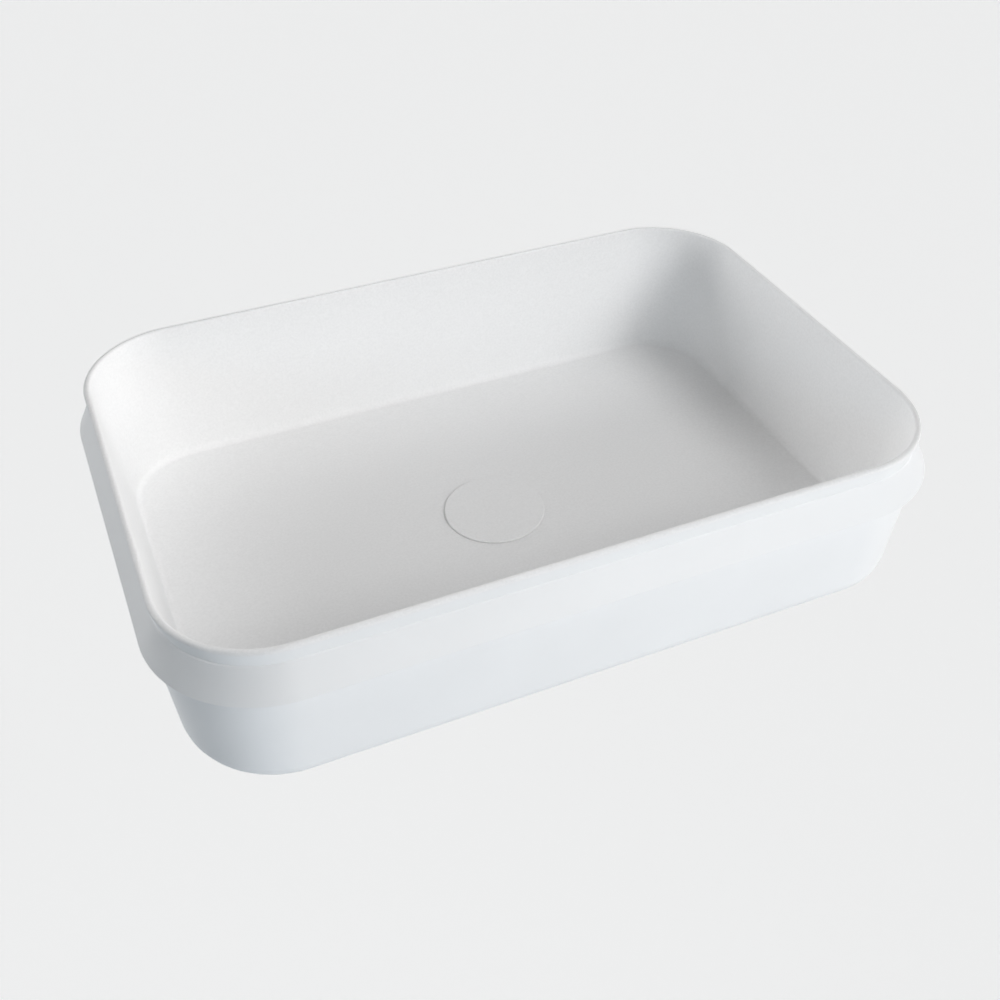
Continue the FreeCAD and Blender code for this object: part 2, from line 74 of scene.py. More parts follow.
HOLE_RADIUS = 22.555
SUMP_RADIUS = 54.5
AXIS_REACH = 200
SEAM = 0.005

# How far a corner is rounded.
SHARP = 0
EASED = 0.3
SOFT = 0.4
MILD = 0.5
BLUNT = 0.6

# Where a point of a section runs, and which face of the casting it is on.
ALONG_RIM, ABOUT_AXIS = False, True
INSIDE, OUTSIDE = False, True
PLAIN = (SHARP, ALONG_RIM, INSIDE)


def add_node(tree, kind, inputs, **settings):
    """Add a node with its settings, and fill or link its inputs."""
    node = tree.nodes.new(kind)
    for name, value in settings.items():
        setattr(node, name, value)
    for socket, source in inputs.items():
        if isinstance(source, bpy.types.NodeSocket):
            tree.links.new(source, node.inputs[socket])
        else:
            node.inputs[socket].default_value = source
    return node


def linear(colour):
    """An sRGB hex colour as linear RGBA."""
    parts = [int(colour[place:place + 2], 16) / 255 for place in (1, 3, 5)]
    return [c / 12.92 if c <= 0.04045 else ((c + 0.055) / 1.055) ** 2.4 for c in parts] + [1]


def new_tree(name, sizes):
    """An empty shape tree with its named inputs, and those inputs as sockets."""
    tree = bpy.data.node_groups.new(name, "GeometryNodeTree")
    for title, kind in sizes.items():
        tree.interface.new_socket(title, in_out="INPUT", socket_type=f"NodeSocket{kind}")
    tree.interface.new_socket("Piece", in_out="OUTPUT", socket_type="NodeSocketGeometry")
    return tree, add_node(tree, "NodeGroupInput", {}).outputs


# The rule of the bowl and of each turned piece: a section goes once round an outline, its corners rounded.
# Points marked about_axis leave the outline and lie at their own radius about the waste's axis. A face whose
# points are all outside takes the outer finish.
HALF_STEP = 0.5
WHOLE_FACE = 0.99
sweep, size = new_tree(
    "section_round_outline",
    {
        "Section": "Geometry",
        "Length": "Float",
        "Width": "Float",
        "Corner": "Float",
        "Corner steps": "Int",
        "Side cuts": "Int",
        "Round steps": "Int",
        "Axis reach": "Float",
        "Finish": "Material",
        "Outer finish": "Material",
    },
)
rectangle = add_node(
    sweep, "GeometryNodeCurvePrimitiveQuadrilateral", {"Width": size["Length"], "Height": size["Width"]}
)
cornered = add_node(
    sweep,
    "GeometryNodeFilletCurve",
    {"Curve": rectangle.outputs[0], "Count": size["Corner steps"], "Radius": size["Corner"]},
    mode="POLY",
)
corner_points = add_node(sweep, "ShaderNodeMath", {0: size["Corner steps"], 1: 1}, operation="ADD")
index = add_node(sweep, "GeometryNodeInputIndex", {})
on_corner = add_node(
    sweep, "ShaderNodeMath", {0: index.outputs[0], 1: corner_points.outputs[0]}, operation="MODULO"
)
side_starts = add_node(
    sweep,
    "ShaderNodeMath",
    {0: on_corner.outputs[0], 1: size["Corner steps"], 2: HALF_STEP},
    operation="COMPARE",
)
cuts = add_node(
    sweep, "ShaderNodeMath", {0: side_starts.outputs[0], 1: size["Side cuts"]}, operation="MULTIPLY"
)
divided = add_node(
    sweep, "GeometryNodeSubdivideCurve", {"Curve": cornered.outputs[0], "Cuts": cuts.outputs[0]}
)
position = add_node(sweep, "GeometryNodeInputPosition", {})
outward = add_node(sweep, "ShaderNodeVectorMath", {0: position.outputs[0]}, operation="NORMALIZE")
aimed = add_node(
    sweep,
    "GeometryNodeStoreNamedAttribute",
    {"Geometry": divided.outputs[0], "Name": "outward", "Value": outward.outputs[0]},
    data_type="FLOAT_VECTOR",
    domain="POINT",
)
outline = add_node(sweep, "GeometryNodeSetCurveNormal", {"Curve": aimed.outputs[0]}, mode="Z_UP")
section_line = add_node(sweep, "GeometryNodeMeshToCurve", {"Mesh": size["Section"]})
corner_round = add_node(
    sweep, "GeometryNodeInputNamedAttribute", {"Name": "corner_round"}, data_type="FLOAT"
)
rounded = add_node(
    sweep,
    "GeometryNodeFilletCurve",
    {
        "Curve": section_line.outputs[0],
        "Count": size["Round steps"],
        "Radius": corner_round.outputs[0],
        "Limit Radius": True,
    },
    mode="POLY",
)
place = add_node(sweep, "ShaderNodeSeparateXYZ", {0: position.outputs[0]})
measured = add_node(
    sweep,
    "GeometryNodeStoreNamedAttribute",
    {"Geometry": rounded.outputs[0], "Name": "reach", "Value": place.outputs["X"]},
    data_type="FLOAT",
    domain="POINT",
)
swept = add_node(
    sweep, "GeometryNodeCurveToMesh", {"Curve": outline.outputs[0], "Profile Curve": measured.outputs[0]}
)
reach = add_node(sweep, "GeometryNodeInputNamedAttribute", {"Name": "reach"}, data_type="FLOAT")
radius = add_node(sweep, "ShaderNodeMath", {0: reach.outputs[0], 1: size["Axis reach"]}, operation="ADD")
way_out = add_node(sweep, "GeometryNodeInputNamedAttribute", {"Name": "outward"}, data_type="FLOAT_VECTOR")
on_circle = add_node(
    sweep, "ShaderNodeVectorMath", {0: way_out.outputs[0], "Scale": radius.outputs[0]}, operation="SCALE"
)
height = add_node(sweep, "ShaderNodeCombineXYZ", {"Z": place.outputs["Z"]})
at_height = add_node(
    sweep, "ShaderNodeVectorMath", {0: on_circle.outputs[0], 1: height.outputs[0]}, operation="ADD"
)
about_axis = add_node(sweep, "GeometryNodeInputNamedAttribute", {"Name": "about_axis"}, data_type="BOOLEAN")
turned = add_node(
    sweep,
    "GeometryNodeSetPosition",
    {"Geometry": swept.outputs[0], "Selection": about_axis.outputs[0], "Position": at_height.outputs[0]},
)
closed = add_node(
    sweep, "GeometryNodeMergeByDistance", {"Geometry": turned.outputs[0], "Distance": SEAM * MM}
)
facing_out = add_node(sweep, "GeometryNodeFlipFaces", {"Mesh": closed.outputs[0]})
smooth = add_node(sweep, "GeometryNodeSetShadeSmooth", {"Geometry": facing_out.outputs[0]})
realized = add_node(sweep, "GeometryNodeRealizeInstances", {"Geometry": smooth.outputs[0]})
finished = add_node(
    sweep, "GeometryNodeSetMaterial", {"Geometry": realized.outputs[0], "Material": size["Finish"]}
)
outside = add_node(sweep, "GeometryNodeInputNamedAttribute", {"Name": "outside"}, data_type="FLOAT")
all_outside = add_node(
    sweep, "ShaderNodeMath", {0: outside.outputs[0], 1: WHOLE_FACE}, operation="GREATER_THAN"
)
two_toned = add_node(
    sweep,
    "GeometryNodeSetMaterial",
    {
        "Geometry": finished.outputs[0],
        "Selection": all_outside.outputs[0],
        "Material": size["Outer finish"],
    },
)
add_node(sweep, "NodeGroupOutput", {0: two_toned.outputs[0]})


def shape_piece(name, section, tree, sizes):
    """The piece that a tree makes of a section: rows of reach and height, then corner round, run and face
    where these aren't plain. The section is closed, unless both its ends lie on the axis."""
    rows = [(*row, *PLAIN[len(row) - 2:]) for row in section]
    sides = [(row, (row + 1) % len(rows)) for row in range(len(rows))]
    if rows[0][0] == rows[-1][0] == 0:
        sides.pop()
    mesh = bpy.data.meshes.new(f"{name}_section")
    mesh.from_pydata([(row[0] * MM, -row[1] * MM, 0) for row in rows], sides, [])
    for title, kind, values in (
        ("corner_round", "FLOAT", [row[2] * MM for row in rows]),
        ("about_axis", "BOOLEAN", [row[3] for row in rows]),
        ("outside", "FLOAT", [float(row[4]) for row in rows]),
    ):
        mesh.attributes.new(title, kind, "POINT").data.foreach_set("value", values)
    piece = bpy.data.objects.new(name, mesh)
    bpy.context.scene.collection.objects.link(piece)
    shaping = piece.modifiers.new("shaping", "NODES")
    shaping.node_group = tree
    for item in tree.interface.items_tree:
        if item.name in sizes:
            shaping[item.identifier] = sizes[item.name]
    piece.modifiers.new("flat_faces_stay_flat", "WEIGHTED_NORMAL")
    result = bpy.data.meshes.new_from_object(piece.evaluated_get(bpy.context.evaluated_depsgraph_get()))
    result.name = name
    piece.modifiers.clear()
    piece.data = result
    for title in ("corner_round", "about_axis", "outside", "reach", "outward"):
        if title in result.attributes:
            result.attributes.remove(result.attributes[title])
    bpy.data.meshes.remove(mesh)
    return piece


def new_material(name, roughness):
    """A material with its tree, its shader and the piece's own coordinates."""
    material = bpy.data.materials.new(name)
    material.use_nodes = True
    shader = material.node_tree.nodes["Principled BSDF"]
    shader.inputs["Roughness"].default_value = roughness
    coordinates = add_node(material.node_tree, "ShaderNodeTexCoord", {}).outputs["Object"]
    return material, material.node_tree, shader, coordinates


# Sanded solid surface: powdered mineral in clear acrylic, so it is white right through, and sanding leaves
# an even matt face. The grain is under 0.3 mm; it is drawn at 2 mm so that it shows at all.
GRAIN = 2
GRAIN_DEPTH = 0.02
CLOUD = 80
sanded, tree, shader, here = new_material("solid_surface_sanded", 0.78)
grain = add_node(tree, "ShaderNodeTexNoise", {"Vector": here, "Scale": 1 / (GRAIN * MM), "Detail": 3})
cloud = add_node(tree, "ShaderNodeTexNoise", {"Vector": here, "Scale": 1 / (CLOUD * MM), "Detail": 1})
tone = add_node(tree, "ShaderNodeValToRGB", {0: grain.outputs[0]})
tone.color_ramp.elements[0].position = 0.3
tone.color_ramp.elements[1].position = 0.7
tone.color_ramp.elements[0].color = linear("#ececec")
tone.color_ramp.elements[1].color = linear("#f2f2f2")
tree.links.new(tone.outputs[0], shader.inputs["Base Color"])
sheen = add_node(tree, "ShaderNodeMapRange", {"Value": cloud.outputs[0], "To Min": 0.72, "To Max": 0.84})
tree.links.new(sheen.outputs[0], shader.inputs["Roughness"])
relief = add_node(
    tree, "ShaderNodeBump", {"Height": grain.outputs[0], "Strength": 0.1, "Distance": GRAIN_DEPTH * MM}
)
tree.links.new(relief.outputs[0], shader.inputs["Normal"])

# The mould's skin on the same casting: a thin layer richer in resin, a little smoother and a shade cooler.
SKIN_CLOUD = 60
skin, tree, shader, here = new_material("solid_surface_mould_skin", 0.5)
cloud = add_node(tree, "ShaderNodeTexNoise", {"Vector": here, "Scale": 1 / (SKIN_CLOUD * MM), "Detail": 2})
tone = add_node(tree, "ShaderNodeValToRGB", {0: cloud.outputs[0]})
tone.color_ramp.elements[0].color = linear("#ebeced")
tone.color_ramp.elements[1].color = linear("#f0f1f2")
tree.links.new(tone.outputs[0], shader.inputs["Base Color"])
sheen = add_node(tree, "ShaderNodeMapRange", {"Value": cloud.outputs[0], "To Min": 0.46, "To Max": 0.54})
tree.links.new(sheen.outputs[0], shader.inputs["Roughness"])

bowl = shape_piece(
    "bowl",
    [
        (0, RIM, LIP_ROUND),
        (-LIP_WIDTH, RIM, LIP_ROUND),
        (FLOOR_EDGE_REACH, FLOOR_EDGE, FLOOR_ROUND),
        (SUMP_RADIUS - AXIS_REACH, FLOOR, SHARP, ABOUT_AXIS),
        (RECESS_RADIUS - AXIS_REACH, FLOOR, SOFT, ABOUT_AXIS),
        (RECESS_RADIUS - AXIS_REACH, RECESS, BLUNT, ABOUT_AXIS),
        (HOLE_RADIUS - AXIS_REACH, RECESS, EASED, ABOUT_AXIS),
        (HOLE_RADIUS - AXIS_REACH, BOTTOM, MILD, ABOUT_AXIS, OUTSIDE),
        (SUMP_RADIUS - AXIS_REACH, BOTTOM, SHARP, ABOUT_AXIS, OUTSIDE),
        (BOTTOM_REACH, BOTTOM, BOTTOM_ROUND, ALONG_RIM, OUTSIDE),
        (BODY_REACH, SEAT, MILD, ALONG_RIM, OUTSIDE),
        (SKIRT_REACH, SEAT, SOFT, ALONG_RIM, OUTSIDE),
        (SKIRT_TOP_REACH, SKIRT_TOP, EASED, ALONG_RIM, OUTSIDE),
        (NECK_REACH, NECK, EASED, ALONG_RIM, OUTSIDE),
        (LIP_FOOT_REACH, LIP_FOOT, SHARP, ALONG_RIM, OUTSIDE),
    ],
    sweep,
    {
        "Length": RIM_LENGTH * MM,
        "Width": RIM_WIDTH * MM,
        "Corner": RIM_CORNER * MM,
        "Corner steps": 24,
        "Side cuts": 24,
        "Round steps": 6,
        "Axis reach": AXIS_REACH * MM,
        "Finish": sanded,
        "Outer finish": skin,
    },
)
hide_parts("basin_bowl")
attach(bowl, "basin")

# Flange seal
# A flat ring of grey silicone, moulded. It lies in the bowl's recess under the waste flange, and keeps
# water out of the hole once the nut below is done up.
SEAL_RADIUS = 29.555
FLANGE_UNDER = -93.2
TURN_WIDTH = 40
TURN_CORNER = 19.9


def turn_piece(name, half_section, finish):
    """A piece turned about the waste's axis: rows of (radius, height, corner round), anticlockwise. Its
    outline, a square with nearly round corners, only gives the directions."""
    return shape_piece(
        name,
        [(*row, ABOUT_AXIS) for row in half_section],
        sweep,
        {
            "Length": TURN_WIDTH * MM,
            "Width": TURN_WIDTH * MM,
            "Corner": TURN_CORNER * MM,
            "Corner steps": 24,
            "Side cuts": 0,
            "Round steps": 4,
            "Axis reach": 0.0,
            "Finish": finish,
            "Outer finish": finish,
        },
    )


# Silicone: clear grey and soft, with a dull wet sheen and the faint cloud of its filler.
FILLER = 6
GLOW = 1
silicone, tree, shader, here = new_material("silicone_grey", 0.45)
cloud = add_node(tree, "ShaderNodeTexNoise", {"Vector": here, "Scale": 1 / (FILLER * MM), "Detail": 2})
tone = add_node(tree, "ShaderNodeValToRGB", {0: cloud.outputs[0]})
tone.color_ramp.elements[0].color = linear("#b9bab6")
tone.color_ramp.elements[1].color = linear("#cccdc9")
tree.links.new(tone.outputs[0], shader.inputs["Base Color"])
shader.inputs["Subsurface Weight"].default_value = 0.15
shader.inputs["Subsurface Radius"].default_value = (GLOW * MM, GLOW * MM, GLOW * MM)

flange_seal = turn_piece(
    "flange_gasket",
    [
        (HOLE_RADIUS, RECESS, EASED),
        (SEAL_RADIUS, RECESS, EASED),
        (SEAL_RADIUS, FLANGE_UNDER, EASED),
        (HOLE_RADIUS, FLANGE_UNDER, EASED),
    ],
    silicone,
)
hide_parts("flange_seal")
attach(flange_seal, "basin")

# Waste body
# A brass casting, turned and chromed: flange, barrel with a pipe thread at both ends, and a spider with
# arms inside the barrel that carries the cartridge. It goes down through the bowl's hole from above.
BORE_RADIUS = 17.955
ROOT_RADIUS = 19.475
CREST_RADIUS = 20.955
PITCH = 2.309
BARREL_END = -155.6
BARREL_END_RADIUS = 18.9
BARREL_CHAMFER = -154.8
FLANGE_RADIUS = 31.955
FLANGE_TOP = -91.2
FLANGE_BEVEL = 1
SPIDER_UNDER = -145.6
SPIDER_TOP = -136.6
SPIDER_HOLE = 5.05
SPIDER_RADIUS = 9
ARM_THICK = 3
ARM_TALL = 6
ARM_INNER = 8.5
ARM_OUTER = 18.3
ARMS = 3
FINE = 0.2

# Chrome plate: a mirror with a faint blue, over the last trace of the lathe's feed and of polishing.
WIPE = 9
chrome, tree, shader, here = new_material("chrome_plate", 0.09)
shader.inputs["Metallic"].default_value = 1
wipe = add_node(tree, "ShaderNodeTexNoise", {"Vector": here, "Scale": 1 / (WIPE * MM), "Detail": 4})
tone = add_node(tree, "ShaderNodeValToRGB", {0: wipe.outputs[0]})
tone.color_ramp.elements[0].color = linear("#dcdddf")
tone.color_ramp.elements[1].color = linear("#e9eaec")
tree.links.new(tone.outputs[0], shader.inputs["Base Color"])
sheen = add_node(tree, "ShaderNodeMapRange", {"Value": wipe.outputs[0], "To Min": 0.05, "To Max": 0.16})
tree.links.new(sheen.outputs[0], shader.inputs["Roughness"])

barrel = turn_piece(
    "waste_barrel",
    [
        (BORE_RADIUS, BARREL_END, FINE),
        (BARREL_END_RADIUS, BARREL_END, FINE),
        (ROOT_RADIUS, BARREL_CHAMFER, FINE),
        (ROOT_RADIUS, FLANGE_UNDER, SHARP),
        (FLANGE_RADIUS, FLANGE_UNDER, FINE),
        (FLANGE_RADIUS, FLANGE_TOP - FLANGE_BEVEL, SOFT),
        (FLANGE_RADIUS - FLANGE_BEVEL, FLANGE_TOP, SOFT),
        (BORE_RADIUS + FLANGE_BEVEL, FLANGE_TOP, EASED),
        (BORE_RADIUS, FLANGE_TOP - FLANGE_BEVEL, EASED),
    ],
    chrome,
)
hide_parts("waste_body")
spider_hub = turn_piece(
    "waste_spider_hub",
    [
        (SPIDER_HOLE, SPIDER_UNDER, EASED),
        (SPIDER_RADIUS, SPIDER_UNDER, MILD),
        (SPIDER_RADIUS, SPIDER_TOP, MILD),
        (SPIDER_HOLE, SPIDER_TOP, EASED),
    ],
    chrome,
)

# The spider's arms: one rounded bar, repeated about the axis between hub and barrel.
arms_tree, size = new_tree(
    "arms_about_axis",
    {
        "Section": "Geometry",
        "Thick": "Float",
        "Tall": "Float",
        "Edge": "Float",
        "Inner end": "Float",
        "Outer end": "Float",
        "Middle height": "Float",
        "Count": "Int",
        "Finish": "Material",
    },
)
bar_section = add_node(
    arms_tree, "GeometryNodeCurvePrimitiveQuadrilateral", {"Width": size["Thick"], "Height": size["Tall"]}
)
bar_rounded = add_node(
    arms_tree,
    "GeometryNodeFilletCurve",
    {"Curve": bar_section.outputs[0], "Count": 4, "Radius": size["Edge"]},
    mode="POLY",
)
inner = add_node(arms_tree, "ShaderNodeCombineXYZ", {"Y": size["Inner end"], "Z": size["Middle height"]})
outer = add_node(arms_tree, "ShaderNodeCombineXYZ", {"Y": size["Outer end"], "Z": size["Middle height"]})
run = add_node(
    arms_tree, "GeometryNodeCurvePrimitiveLine", {"Start": inner.outputs[0], "End": outer.outputs[0]}
)
bar = add_node(
    arms_tree,
    "GeometryNodeCurveToMesh",
    {"Curve": run.outputs[0], "Profile Curve": bar_rounded.outputs[0], "Fill Caps": True},
)
stations = add_node(arms_tree, "GeometryNodePoints", {"Count": size["Count"], "Position": (0, 0, 0)})
index = add_node(arms_tree, "GeometryNodeInputIndex", {})
share = add_node(arms_tree, "ShaderNodeMath", {0: index.outputs[0], 1: size["Count"]}, operation="DIVIDE")
turn = add_node(arms_tree, "ShaderNodeMath", {0: share.outputs[0], 1: math.tau}, operation="MULTIPLY")
spin = add_node(arms_tree, "ShaderNodeCombineXYZ", {"Z": turn.outputs[0]})
set_out = add_node(
    arms_tree,
    "GeometryNodeInstanceOnPoints",
    {"Points": stations.outputs[0], "Instance": bar.outputs[0], "Rotation": spin.outputs[0]},
)
realized = add_node(arms_tree, "GeometryNodeRealizeInstances", {"Geometry": set_out.outputs[0]})
finished = add_node(
    arms_tree, "GeometryNodeSetMaterial", {"Geometry": realized.outputs[0], "Material": size["Finish"]}
)
add_node(arms_tree, "NodeGroupOutput", {0: finished.outputs[0]})
spider_arms = shape_piece(
    "waste_spider_arms",
    [(0, 0)],
    arms_tree,
    {
        "Thick": ARM_THICK * MM,
        "Tall": ARM_TALL * MM,
        "Edge": BLUNT * MM,
        "Inner end": ARM_INNER * MM,
        "Outer end": ARM_OUTER * MM,
        "Middle height": (SPIDER_UNDER + ARM_TALL / 2) * MM,
        "Count": ARMS,
        "Finish": chrome,
    },
)

# The rule of the threads and the spring: a section follows a helix, and thins out over its run-out turns.
MIDWAY = 0.5
helix, size = new_tree(
    "section_along_helix",
    {
        "Section": "Geometry",
        "Radius": "Float",
        "Pitch": "Float",
        "Turns": "Float",
        "Foot": "Float",
        "Run-out turns": "Float",
        "Steps": "Int",
        "Finish": "Material",
    },
)
climb = add_node(helix, "ShaderNodeMath", {0: size["Pitch"], 1: size["Turns"]}, operation="MULTIPLY")
coil = add_node(
    helix,
    "GeometryNodeCurveSpiral",
    {
        "Resolution": size["Steps"],
        "Rotations": size["Turns"],
        "Start Radius": size["Radius"],
        "End Radius": size["Radius"],
        "Height": climb.outputs[0],
    },
)
foot = add_node(helix, "ShaderNodeCombineXYZ", {"Z": size["Foot"]})
raised = add_node(
    helix, "GeometryNodeSetPosition", {"Geometry": coil.outputs[0], "Offset": foot.outputs[0]}
)
downwards = add_node(helix, "GeometryNodeReverseCurve", {"Curve": raised.outputs[0]})
upright = add_node(helix, "GeometryNodeSetCurveNormal", {"Curve": downwards.outputs[0]}, mode="Z_UP")
along = add_node(helix, "GeometryNodeSplineParameter", {})
from_end = add_node(helix, "ShaderNodeMath", {0: along.outputs["Factor"], 1: MIDWAY}, operation="SUBTRACT")
from_middle = add_node(helix, "ShaderNodeMath", {0: from_end.outputs[0]}, operation="ABSOLUTE")
to_end = add_node(helix, "ShaderNodeMath", {0: MIDWAY, 1: from_middle.outputs[0]}, operation="SUBTRACT")
turns_left = add_node(
    helix, "ShaderNodeMath", {0: to_end.outputs[0], 1: size["Turns"]}, operation="MULTIPLY"
)
thickness = add_node(
    helix,
    "ShaderNodeMapRange",
    {"Value": turns_left.outputs[0], "From Max": size["Run-out turns"], "To Min": 0.05, "To Max": 1.0},
)
tapered = add_node(
    helix, "GeometryNodeSetCurveRadius", {"Curve": upright.outputs[0], "Radius": thickness.outputs[0]}
)
section_line = add_node(helix, "GeometryNodeMeshToCurve", {"Mesh": size["Section"]})
wound = add_node(
    helix,
    "GeometryNodeCurveToMesh",
    {"Curve": tapered.outputs[0], "Profile Curve": section_line.outputs[0], "Fill Caps": True},
)
facing_out = add_node(helix, "GeometryNodeFlipFaces", {"Mesh": wound.outputs[0]})
smooth = add_node(helix, "GeometryNodeSetShadeSmooth", {"Geometry": facing_out.outputs[0]})
realized = add_node(helix, "GeometryNodeRealizeInstances", {"Geometry": smooth.outputs[0]})
finished = add_node(
    helix, "GeometryNodeSetMaterial", {"Geometry": realized.outputs[0], "Material": size["Finish"]}
)
add_node(helix, "NodeGroupOutput", {0: finished.outputs[0]})

# The threads: each ridge is cut off at its crest, and its foot is sunk a little into the barrel.
THREAD_SUNK = 0.15
THREAD_FOOT_HALF = 1.05
THREAD_CREST_HALF = 0.22
THREAD_DEPTH = CREST_RADIUS - ROOT_RADIUS
THREAD_RUN_OUT = 0.4
TRAP_THREAD_FOOT = -154.2
TRAP_THREAD_TURNS = 10.0
NUT_THREAD_FOOT = -119.8
NUT_THREAD_TURNS = 9.5
threads = [
    shape_piece(
        name,
        [
            (-THREAD_SUNK, -THREAD_FOOT_HALF),
            (THREAD_DEPTH, -THREAD_CREST_HALF),
            (THREAD_DEPTH, THREAD_CREST_HALF),
            (-THREAD_SUNK, THREAD_FOOT_HALF),
        ],
        helix,
        {
            "Radius": ROOT_RADIUS * MM,
            "Pitch": PITCH * MM,
            "Turns": turns,
            "Foot": foot_height * MM,
            "Run-out turns": THREAD_RUN_OUT,
            "Steps": 72,
            "Finish": chrome,
        },
    )
    for name, foot_height, turns in (
        ("waste_trap_thread", TRAP_THREAD_FOOT, TRAP_THREAD_TURNS),
        ("waste_nut_thread", NUT_THREAD_FOOT, NUT_THREAD_TURNS),
    )
]
for piece in [barrel, spider_hub, spider_arms] + threads:
    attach(piece, "basin")

# Gasket, washer and back nut
# A black rubber ring with a cone that centres the barrel, a stiff polythene washer and a hexagonal chromed
# brass nut. They go on the barrel from below, and the nut pulls the flange down on its seal.
GASKET_UNDER = -105
GASKET_RADIUS = 30.055
CONE_TOP = -97
CONE_FOOT_RADIUS = 22.355
CONE_TOP_RADIUS = 21.705
WASHER_UNDER = -106.5
WASHER_RADIUS = 29.555
NUT_UNDER = -115.5
NUT_HEIGHT = 9
NUT_FLAT = 25.955
NUT_BORE = 21.055
NUT_CHAMFER = 0.6
NUT_BEVEL = math.radians(30)
NUT_SIDE = math.radians(60)
NUT_STEPS = 72
SHARP_ANGLE = math.radians(25)
CRISP = 0.1
FULL = 0.8

# Rubber: black, moulded, with the grey bloom that comes out of it in store.
BLOOM = 5
BLOOM_DEPTH = 0.05
rubber, tree, shader, here = new_material("rubber_black", 0.7)
bloom = add_node(tree, "ShaderNodeTexNoise", {"Vector": here, "Scale": 1 / (BLOOM * MM), "Detail": 5})
tone = add_node(tree, "ShaderNodeValToRGB", {0: bloom.outputs[0]})
tone.color_ramp.elements[0].color = linear("#1b1b1b")
tone.color_ramp.elements[1].color = linear("#343433")
tree.links.new(tone.outputs[0], shader.inputs["Base Color"])
relief = add_node(
    tree, "ShaderNodeBump", {"Height": bloom.outputs[0], "Strength": 0.3, "Distance": BLOOM_DEPTH * MM}
)
tree.links.new(relief.outputs[0], shader.inputs["Normal"])

# Polythene: stamped from sheet, waxy white, with the faint drag of the tool.
DRAG = 3
polythene, tree, shader, here = new_material("washer_polythene", 0.5)
drag = add_node(tree, "ShaderNodeTexNoise", {"Vector": here, "Scale": 1 / (DRAG * MM), "Detail": 3})
tone = add_node(tree, "ShaderNodeValToRGB", {0: drag.outputs[0]})
tone.color_ramp.elements[0].color = linear("#e4e4df")
tone.color_ramp.elements[1].color = linear("#efefeb")
tree.links.new(tone.outputs[0], shader.inputs["Base Color"])

gasket = turn_piece(
    "under_bowl_gasket",
    [
        (NUT_BORE, GASKET_UNDER, SOFT),
        (GASKET_RADIUS, GASKET_UNDER, FULL),
        (GASKET_RADIUS, BOTTOM, MILD),
        (CONE_FOOT_RADIUS, BOTTOM, FINE),
        (CONE_TOP_RADIUS, CONE_TOP, FINE),
        (NUT_BORE, CONE_TOP, CRISP),
    ],
    rubber,
)
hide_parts("under_gasket")
washer = turn_piece(
    "nut_washer",
    [
        (NUT_BORE, WASHER_UNDER, FINE),
        (WASHER_RADIUS, WASHER_UNDER, EASED),
        (WASHER_RADIUS, GASKET_UNDER, EASED),
        (NUT_BORE, GASKET_UNDER, FINE),
    ],
    polythene,
)
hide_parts("slip_washer")
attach(gasket, "basin")
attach(washer, "basin")

# The nut goes round in steps: its outside follows the flats, and its lower corners are turned off.
nut_points = []
for step in range(NUT_STEPS):
    angle = step * math.tau / NUT_STEPS
    across = NUT_FLAT / math.cos(angle % NUT_SIDE - NUT_SIDE / 2)
    bevel = (across - NUT_FLAT) * math.tan(NUT_BEVEL)
    ring = (
        (NUT_BORE + NUT_CHAMFER, 0),
        (NUT_FLAT, 0),
        (across, bevel),
        (across, NUT_HEIGHT),
        (NUT_BORE, NUT_HEIGHT),
        (NUT_BORE, NUT_CHAMFER),
    )
    nut_points += [
        (out * math.cos(angle) * MM, out * math.sin(angle) * MM, (NUT_UNDER + up) * MM) for out, up in ring
    ]
nut_faces = []
for step in range(NUT_STEPS):
    row = step * len(ring)
    next_row = (step + 1) % NUT_STEPS * len(ring)
    for corner in range(len(ring)):
        after = (corner + 1) % len(ring)
        nut_faces.append((row + corner, next_row + corner, next_row + after, row + after))
nut_mesh = bpy.data.meshes.new("hexagonal_nut")
nut_mesh.from_pydata(nut_points, [], nut_faces)
nut_mesh.materials.append(chrome)
nut_mesh.shade_smooth()
nut_mesh.set_sharp_from_angle(angle=SHARP_ANGLE)
nut = bpy.data.objects.new("hexagonal_nut", nut_mesh)
bpy.context.scene.collection.objects.link(nut)
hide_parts("back_nut")
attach(nut, "basin")

# Cartridge
# A brass tube, turned from bar and screwed into the spider, closed by a pressed-in acetal bush. Inside, a
# steel plunger stands on a notched ring and a spring: each push steps the ring round and holds or frees it.
STEM_RADIUS = 5
TUBE_RADIUS = 8
TUBE_BORE = 6.2
TUBE_FLOOR = -135.1
TUBE_TOP = -103.3
BUSH_RADIUS = 6.15
BUSH_UNDER = -106.8
BUSH_TOP = -101.8
ROD_HOLE = 3.55
ROD_RADIUS = 3.5
ROD_TOP = -93.8
HEAD_RADIUS = 5.9
HEAD_UNDER = -120.1
HEAD_TOP = -116.1
PIN_RADIUS = 2
PIN_END = -129.1
WIRE_RADIUS = 0.4
WIRE_STEPS = 12
COIL_RADIUS = 5.2
COIL_PITCH = 1.5
COIL_TURNS = 6.0
COIL_RUN_OUT = 0.001
COIL_FOOT = -134.6

